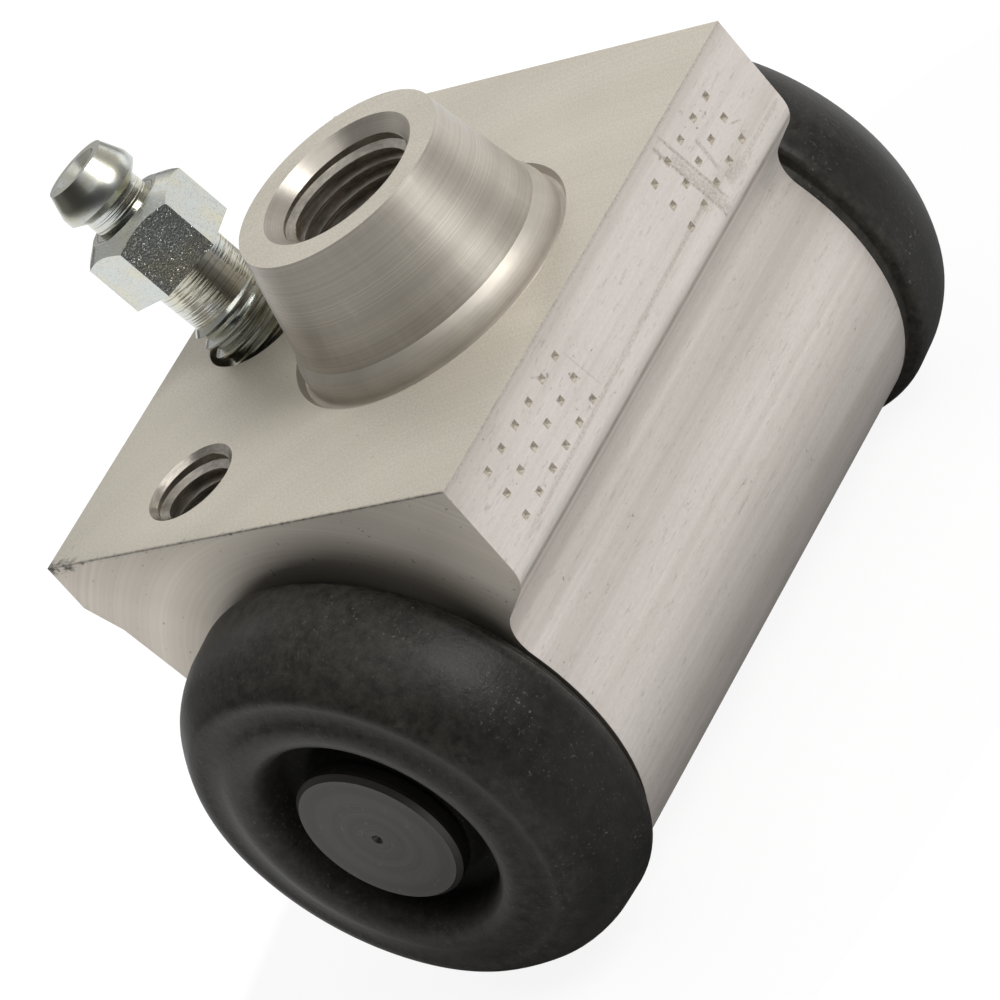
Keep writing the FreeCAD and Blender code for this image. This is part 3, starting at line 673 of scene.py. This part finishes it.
# the radii, depths and levels inside which they lie
BORE_RADIUS, BORE_REACH = 10.8, 24.9
DENT_DEPTH, DENTS_LOW, DENTS_HIGH, DENTS_REACH = 0.4, -6.6, -1, 20.4
GROOVE_RADIUS, GROOVE_RIM, GROOVE_FLOOR = 10.95, 10.89, -0.6
PORT_RADIUS, PORT_WALL, PORT_FLOOR = 5.1, 5.05, -10
BOLT_RADIUS = 3.45
BLEED_RADIUS = 3.95
RIM_RADIUS = 14.5


def body_region(face):
    """Which tool made this part of the body's surface."""
    spot = face.calc_center_median() / MM
    normal = face.normal
    from_bore = math.hypot(spot.y - BORE_AXIS.y / MM, spot.z - BORE_AXIS.z / MM)
    from_boss = math.hypot(spot.x, spot.y)
    if from_bore < BORE_RADIUS and abs(spot.x) < BORE_REACH:
        return HONED
    if spot.z > BOSS_TOP - ON_PLANE:
        return MILLED
    in_side = 2 * ON_PLANE < spot.y - FLANGE_NEAR < DENT_DEPTH
    if in_side and DENTS_LOW < spot.z < DENTS_HIGH and abs(spot.x) < DENTS_REACH:
        return DENTED
    on_groove_rim = spot.z > -ON_PLANE and from_boss > GROOVE_RIM
    in_groove = spot.z > GROOVE_FLOOR and from_boss < GROOVE_RADIUS and not on_groove_rim
    if spot.z > 2 * ON_PLANE or in_groove:
        if from_boss < PORT_WALL and abs(normal.z) < 0.5:
            return TAPPED
        return BURNISHED if spot.z < BAND_TOP and from_boss > BAND_INSIDE else TURNED
    if from_boss < PORT_RADIUS and spot.z > PORT_FLOOR:
        return TAPPED
    for hole in BOLT_HOLES:
        if math.hypot(spot.x - hole.x / MM, spot.y - hole.y / MM) < BOLT_RADIUS and spot.z < -ON_PLANE / 2:
            return TAPPED
    if about_bleed_axis(spot * MM)[1].length < BLEED_RADIUS * MM and spot.z < -ON_PLANE:
        return TAPPED
    if spot.z > -ON_PLANE and normal.z > 0.9:
        return MILLED
    if abs(spot.x) > BODY_END - ON_PLANE:
        return FACED
    return EXTRUDED


def is_flange_edge(edge):
    """True for the outer edges of the flange and barrel: round both end faces and along the mounting face."""
    spots = [vert.co / MM for vert in edge.verts]
    if all(abs(abs(spot.x) - BODY_END) < ON_PLANE for spot in spots):
        from_bore = [math.hypot(spot.y - BORE_AXIS.y / MM, spot.z - BORE_AXIS.z / MM) for spot in spots]
        return min(from_bore) > RIM_RADIUS
    on_side = all(spot.y < FLANGE_NEAR + ON_PLANE or spot.y > FLANGE_FAR - ON_PLANE for spot in spots)
    return on_side and all(abs(spot.z) < ON_PLANE for spot in spots)


# operators
class WHEELCYLINDER_OT_body(bpy.types.Operator):
    """Finish the extruded and machined body"""
    bl_idname = "wheelcylinder.body"
    bl_label = "Body"

    def execute(self, context):
        settings = context.scene.wheel_body
        shape = copy_of("cylinder_body")
        self.break_corner(shape)
        edges = [edge for edge in shape.edges if not edge.smooth and is_flange_edge(edge)]
        bmesh.ops.bevel(
            shape, geom=edges, offset=settings.edge_break, offset_type="OFFSET", segments=2, profile=0.5,
            affect="EDGES", clamp_overlap=True, material=-1)
        self.step_band(shape)
        smooth_shading(shape)
        for edge in shape.edges:
            level = all(abs(vert.co.z - BAND_TOP * MM) < 0.001 * MM for vert in edge.verts)
            if level and all(vert.co.xy.length > BAND_INSIDE * MM for vert in edge.verts):
                edge.smooth = False
        for face in shape.faces:
            face.material_index = body_region(face)
        materials = (
            extruded_aluminium(settings), dented_aluminium(), milled_aluminium(settings),
            faced_aluminium(settings), turned_aluminium(settings), burnished_aluminium(settings),
            tapped_aluminium(settings), honed_aluminium(settings))
        finished_piece(shape, "body_finished", materials, "cylinder", ["cylinder_body"])
        return {"FINISHED"}

    def break_corner(self, shape):
        """Take the corner off the flange behind the boss, which hides it in the photograph."""
        corner = Vector((BODY_END, FLANGE_FAR)) * MM
        edges = [edge for edge in shape.edges if all(
            (vert.co.xy - corner).length < ON_PLANE * MM for vert in edge.verts)]
        bmesh.ops.bevel(
            shape, geom=edges, offset=1.0 * MM, offset_type="OFFSET", segments=3, profile=0.5,
            affect="EDGES", clamp_overlap=False, material=-1)

    def step_band(self, shape):
        """Step the band between the boss's waist and its foot outwards, as its form tool left it."""
        foot_radius, fall, run = 10.25, 0.63, 2.4
        for height in (0.1, 0.5, 0.9, 1.3, 1.6):
            everything = shape.verts[:] + shape.edges[:] + shape.faces[:]
            bmesh.ops.bisect_plane(
                shape, geom=everything, dist=MERGE, plane_co=(0, 0, height * MM), plane_no=Z_AXIS)
        for vert in shape.verts:
            radius = math.hypot(vert.co.x, vert.co.y)
            height = vert.co.z / MM
            if radius > BAND_INSIDE * MM and 0.05 < height < BAND_TOP:
                wanted = (foot_radius - fall * (1 - (BAND_TOP - height) / run) ** 3) * MM
                vert.co.x *= wanted / radius
                vert.co.y *= wanted / radius


# internal threads: hole, level of its mouth, root radius, depth of the thread's foot under the mouth, depth
# and slope of the countersink, turns
INTERNAL_THREADS = (
    ("port_thread", Vector((0, 0, 0)), BOSS_TOP, 4.99, 10.5, 0.95, 0.95, 9),
    ("near_bolt_thread", BOLT_HOLES[0], 0, 2.99, 9, 0.4, 1, 8),
    ("far_bolt_thread", BOLT_HOLES[1], 0, 2.99, 9, 0.4, 1, 8),
)


class WHEELCYLINDER_OT_threads(bpy.types.Operator):
    """Cut the threads of the brake-line port and of the bolt holes"""
    bl_idname = "wheelcylinder.threads"
    bl_label = "Internal threads"

    def execute(self, context):
        settings = context.scene.wheel_thread
        metal = tapped_aluminium(context.scene.wheel_body)
        for name, hole, mouth, root, reach, sink, slope, turns in INTERNAL_THREADS:
            limit = self.countersink(root * MM, (reach - sink) * MM, slope)
            crest = root * MM - settings.depth
            thread = swept_thread(root * MM, crest, settings.pitch, turns, limit)
            foot = hole + Vector((0, 0, (mouth - reach) * MM))
            bmesh.ops.translate(thread, verts=thread.verts, vec=foot)
            finished_piece(thread, name, [metal], "cylinder")
        return {"FINISHED"}

    def countersink(self, root, start, slope):
        """The radius of a countersink at a height above the thread's foot, buried above its start."""
        return lambda height: root + (height - start) * (slope if height < start else 2 * slope)


class WHEELCYLINDER_OT_pistons(bpy.types.Operator):
    """Finish both pistons"""
    bl_idname = "wheelcylinder.pistons"
    bl_label = "Pistons"

    def execute(self, context):
        metal = anodised_aluminium(context.scene.wheel_piston)
        for side in ("left", "right"):
            node = side + "_piston"
            finished_piece(
                copy_of(node), node + "_finished", [metal], side + "_piston_group", [node])
        return {"FINISHED"}


class WHEELCYLINDER_OT_inner_parts(bpy.types.Operator):
    """Finish the cup seals, the spring seats and the return spring"""
    bl_idname = "wheelcylinder.inner_parts"
    bl_label = "Seals and spring"

    def execute(self, context):
        rubber = cup_rubber()
        pressed = plain_steel("pressed_steel", "#A3A19C", 0.6)
        drawn = plain_steel("spring_wire", "#7C7873", 0.4)
        for side in ("left", "right"):
            for node, material, slot in (
                    (side + "_cup_seal", rubber, "seal"), (side + "_cup_expander", pressed, "expander")):
                finished_piece(
                    copy_of(node), node + "_finished", [material], side + "_piston_group", [node])
        for name, side in (("left", -1), ("right", 1)):
            self.spring_half(name, side, drawn)
        return {"FINISHED"}

    def spring_half(self, name, side, metal):
        """Half of the spring, from the middle of the bore to the end turn on its seat."""
        shape = copy_of("return_spring")
        cut = bmesh.ops.bisect_plane(
            shape, geom=shape.verts[:] + shape.edges[:] + shape.faces[:], dist=MERGE, plane_co=(0, 0, 0),
            plane_no=side * X_AXIS, clear_inner=True)
        rim = [part for part in cut["geom_cut"] if isinstance(part, bmesh.types.BMEdge)]
        bmesh.ops.holes_fill(shape, edges=rim)
        spring = finished_piece(shape, name + "_spring_half", [metal], None, ["return_spring"])
        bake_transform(spring)


# one boot's section, from the flange's end face outwards: distance, radius, reach of the rounding
BOOT_OUTLINE = (
    (0.08, 13.68, 0),
    (0.08, 15.0, 0.2),
    (0.75, 15.05, 0.1),
    (0.95, 15.9, 0.25),
    (1.6, 16.1, 0.3),
    (5.3, 15.8, 1.5),
    (7.4, 14.5, 1.0),
    (8.75, 13.2, 0.6),
    (8.5, 11.8, 0.7),
    (9.2, 10.1, 0.8),
    (8.6, 8.5, 0.6),
    (6.0, 7.8, 0.4),
    (5.7, 6.5, 0.4),
    (7.0, 5.9, 0.2),
    (7.0, 5.3, 0),
    (6.0, 5.3, 0),
    (6.0, 5.8, 0),
    (5.0, 6.3, 0.3),
    (5.2, 9.2, 0.2),
    (7.3, 9.9, 0.4),
    (7.1, 12.1, 0.4),
    (5.9, 12.4, 0.4),
    (5.6, 14.2, 0.4),
    (2.2, 13.68, 0),
    (2.2, 12.68, 0),
    (0.6, 12.68, 0),
    (0.6, 13.68, 0),
)


class WHEELCYLINDER_OT_boots(bpy.types.Operator):
    """Mould the two dust boots that sit between the body and the pistons"""
    bl_idname = "wheelcylinder.boots"
    bl_label = "Dust boots"

    def execute(self, context):
        settings = context.scene.wheel_boot
        for name, side in (("left", -1), ("right", 1)):
            shape = spun_ring(BOOT_OUTLINE)
            for vert in shape.verts:
                self.pull_oval(vert, settings.oval)
            bmesh.ops.translate(shape, verts=shape.verts, vec=(BODY_END * MM, 0, 0))
            if side < 0:
                bmesh.ops.scale(shape, verts=shape.verts, vec=(-1, 1, 1))
            bmesh.ops.translate(shape, verts=shape.verts, vec=BORE_AXIS)
            bmesh.ops.recalc_face_normals(shape, faces=shape.faces)
            node = name + "_dust_boot"
            rubber = moulded_rubber(settings, side)
            boot = finished_piece(shape, node + "_moulded", [rubber], None, [node])
            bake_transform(boot)
        return {"FINISHED"}

    def pull_oval(self, vert, reach):
        """Draw the free front of the wall slightly out of round, as soft rubber stands."""
        radius = math.hypot(vert.co.y, vert.co.z)
        angle = math.atan2(vert.co.z, vert.co.y)
        widest = math.radians(43)
        free = min(max((vert.co.x / MM - 1) / 5, 0), 1) * min(max((radius / MM - 10) / 5, 0), 1)
        wanted = radius + reach * free * math.cos(2 * (angle - widest))
        vert.co.y *= wanted / radius
        vert.co.z *= wanted / radius


# heights of the bleed screw's thread and hexagon above its port, and the radii of thread crest and necks
SCREW_THREAD = (-7.5, 2.9)
SCREW_HEXAGON = (6.5, 11.9)
SCREW_CREST = 3.45
SCREW_NECK = 3.2


class WHEELCYLINDER_OT_bleed_screw(bpy.types.Operator):
    """Plate the bleed screw and cut its thread"""
    bl_idname = "wheelcylinder.bleed_screw"
    bl_label = "Bleed screw"

    def execute(self, context):
        threads = context.scene.wheel_thread
        turned = zinc_plating(context.scene.wheel_screw, True)
        drawn = zinc_plating(context.scene.wheel_screw, False)
        crest = SCREW_CREST * MM
        root = crest - threads.depth
        foot, top = (level * MM for level in SCREW_THREAD)
        hexagon_foot, hexagon_top = (level * MM for level in SCREW_HEXAGON)
        shape = copy_of("bleed_screw")
        for vert in shape.verts:
            along, across = about_bleed_axis(vert.co)
            if foot - ON_PLANE * MM < along < top + ON_PLANE * MM and across.length > root:
                vert.co = BLEED_PORT + along * BLEED_AXIS + across.normalized() * root
        smooth_shading(shape)
        for face in shape.faces:
            along, across = about_bleed_axis(face.calc_center_median())
            on_hexagon = across.length > SCREW_NECK * MM and hexagon_foot < along < hexagon_top
            face.material_index = int(on_hexagon)
        finished_piece(
            shape, "bleed_screw_plated", [turned, drawn], "bleed_screw", ["bleed_screw"])

        def ends(height):
            """The radius that both ends of the thread fade to at a height above its foot."""
            faded_top = 2.95 * MM + (top - (height + foot)) * 0.9
            faded_foot = root + (height + 0.2 * MM) * 0.8
            return min(faded_top, faded_foot)

        thread = swept_thread(root - 0.01 * MM, crest, threads.pitch, 10, ends)
        bmesh.ops.translate(thread, verts=thread.verts, vec=(0, 0, foot))
        tilt = Matrix.Translation(BLEED_PORT) @ Matrix.Rotation(-BLEED_TILT, 4, "X")
        bmesh.ops.transform(thread, verts=thread.verts, matrix=tilt)
        finished_piece(thread, "bleed_screw_thread", [turned], "bleed_screw")
        return {"FINISHED"}


class WHEELCYLINDER_OT_stage(bpy.types.Operator):
    """Set out the floor, the lamps and the camera"""
    bl_idname = "wheelcylinder.stage"
    bl_label = "Stage"

    def execute(self, context):
        settings = context.scene.wheel_stage
        scene = context.scene
        scene.view_settings.view_transform = "Standard"
        self.floor(settings)
        self.world(scene)
        aim = Vector((0, 2, -5)) * MM
        self.lamp("front_softbox", aim, (11, 38), 0.9, (0.4, 0.4), settings.key_power)
        self.lamp("back_softbox", aim, (143, 34), 0.9, (0.8, 0.5), settings.fill_power)
        self.lamp("right_softbox", aim, (78, 0), 0.8, (0.5, 0.3), settings.fill_power)
        self.lamp("top_softbox", aim, (-37, 66), 0.7, (0.6, 0.6), settings.fill_power * 2.5)
        self.camera(scene, settings)
        return {"FINISHED"}

    def floor(self, settings):
        """A pale floor that keeps the part's soft shadow.

        In reflections it is white round the part, shaded under it and dim far from it.
        """
        shape = bmesh.new()
        bmesh.ops.create_grid(shape, x_segments=1, y_segments=1, size=4)
        bmesh.ops.translate(shape, verts=shape.verts, vec=(0, 0, CAD_BOX[0][2] - 0.05 * MM))
        material, tree, place = new_material("studio_floor")
        offset = add(tree, "VectorMath", {
            0: place, 1: (0.5, 1, 0), 2: (0, -BORE_AXIS.y, 0)}, operation="MULTIPLY_ADD")
        reach = add(tree, "VectorMath", {0: offset}, operation="LENGTH")
        under = add(tree, "MapRange", {0: reach, 1: 14 * MM, 2: 34 * MM, 3: 0.05, 4: 1.1})
        far = add(tree, "MapRange", {0: reach, 1: 150 * MM, 2: 320 * MM, 3: 1, 4: 0.04})
        reflected = add(tree, "Math", {0: under, 1: far}, operation="MULTIPLY")
        path = add(tree, "LightPath").outputs
        strength = add(tree, "Math", {0: reflected, 1: path["Is Camera Ray"]}, operation="MAXIMUM")
        paint = add(tree, "BsdfDiffuse", {"Color": (*settings.floor_colour, 1)})
        glow = add(tree, "Emission", {"Color": (1, 1, 1, 1), "Strength": strength})
        seen = add(tree, "Math", {0: path["Is Camera Ray"], 1: 0.9}, operation="MULTIPLY")
        share = add(tree, "Math", {0: seen, 1: path["Is Glossy Ray"]}, operation="MAXIMUM")
        mixed = add(tree, "MixShader", {0: share, 1: paint, 2: glow})
        add(tree, "OutputMaterial", {"Surface": mixed})
        floor = finished_piece(shape, "floor", [material])

    def world(self, scene):
        """A room that is pale behind and above the part and darker on the camera's side."""
        world = bpy.data.worlds.new("studio")
        scene.world = world
        world.use_nodes = True
        tree = world.node_tree
        tree.nodes.clear()
        direction = add(tree, "TexCoord").outputs["Generated"]
        facing = add(tree, "VectorMath", {0: direction, 1: (0.70, 0.50, 0.51)}, operation="DOT_PRODUCT")
        strength = add(tree, "MapRange", {0: facing, 1: -0.2, 2: 0.9, 3: 0.03, 4: 0.6})
        room = add(tree, "Background", {"Color": (1, 1, 1, 1), "Strength": strength})
        white = add(tree, "Background", {"Color": (1, 1, 1, 1), "Strength": 1.0})
        seen = add(tree, "LightPath").outputs["Is Camera Ray"]
        mixed = add(tree, "MixShader", {0: seen, 1: room, 2: white})
        add(tree, "OutputWorld", {"Surface": mixed})

    def lamp(self, name, aim, direction, distance, size, power):
        """Hang a softbox at an azimuth and elevation from the part, facing it."""
        azimuth, elevation = (math.radians(angle) for angle in direction)
        towards = Vector((
            math.sin(azimuth) * math.cos(elevation), -math.cos(azimuth) * math.cos(elevation),
            math.sin(elevation)))
        data = bpy.data.lights.new(name, "AREA")
        data.shape = "RECTANGLE"
        data.size, data.size_y = size
        data.energy = power
        lamp = bpy.data.objects.new(name, data)
        lamp.location = aim + towards * distance
        lamp.rotation_mode = "QUATERNION"
        lamp.rotation_quaternion = towards.to_track_quat("Z", "Y")
        bpy.context.scene.collection.objects.link(lamp)

    def camera(self, scene, settings):
        """The photograph's camera: rolled, and aimed down at the near end of the part."""
        data = bpy.data.cameras.new("camera")
        data.sensor_width = 36
        data.lens = settings.lens
        data.clip_start, data.clip_end = 0.01, 20
        camera = bpy.data.objects.new("camera", data)
        right = Vector((0.4219759, -0.6844928, -0.5944795))
        up = Vector((0.7307618, -0.1312948, 0.6698872))
        back = Vector((-0.5365850, -0.7170992, 0.4447980))
        turned = Matrix((right, up, back)).transposed().to_4x4()
        camera.matrix_world = Matrix.Translation(Vector((-275.40, -358.27, 209.46)) * MM) @ turned
        scene.collection.objects.link(camera)
        scene.camera = camera


class WHEELCYLINDER_PT_panel(bpy.types.Panel):
    """Buttons that make the wheel cylinder piece by piece"""
    bl_idname = "WHEELCYLINDER_PT_panel"
    bl_label = "Wheel Cylinder"
    bl_space_type = "VIEW_3D"
    bl_region_type = "UI"
    bl_category = "Wheel Cylinder"

    def draw(self, context):
        for operator in OPERATORS:
            self.layout.operator(operator.bl_idname)
        for name, kind in SETTINGS:
            box = self.layout.box()
            group = getattr(context.scene, name)
            for setting in kind.__annotations__:
                box.prop(group, setting)


SETTINGS = (
    ("wheel_body", BodySettings),
    ("wheel_thread", ThreadSettings),
    ("wheel_boot", BootSettings),
    ("wheel_piston", PistonSettings),
    ("wheel_screw", ScrewSettings),
    ("wheel_stage", StageSettings),
)
OPERATORS = (
    WHEELCYLINDER_OT_body,
    WHEELCYLINDER_OT_threads,
    WHEELCYLINDER_OT_pistons,
    WHEELCYLINDER_OT_inner_parts,
    WHEELCYLINDER_OT_boots,
    WHEELCYLINDER_OT_bleed_screw,
    WHEELCYLINDER_OT_stage,
)


def register():
    for name, kind in SETTINGS:
        bpy.utils.register_class(kind)
        setattr(bpy.types.Scene, name, bpy.props.PointerProperty(type=kind))
    for kind in OPERATORS:
        bpy.utils.register_class(kind)
    bpy.utils.register_class(WHEELCYLINDER_PT_panel)


def unregister():
    bpy.utils.unregister_class(WHEELCYLINDER_PT_panel)
    for kind in reversed(OPERATORS):
        bpy.utils.unregister_class(kind)
    for name, kind in reversed(SETTINGS):
        delattr(bpy.types.Scene, name)
        bpy.utils.unregister_class(kind)


def main():
    register()
    bpy.ops.wheelcylinder.body()
    bpy.ops.wheelcylinder.threads()
    bpy.ops.wheelcylinder.pistons()
    bpy.ops.wheelcylinder.inner_parts()
    bpy.ops.wheelcylinder.boots()
    bpy.ops.wheelcylinder.bleed_screw()
    bpy.ops.wheelcylinder.stage()


if __name__ == "__main__":
    main()
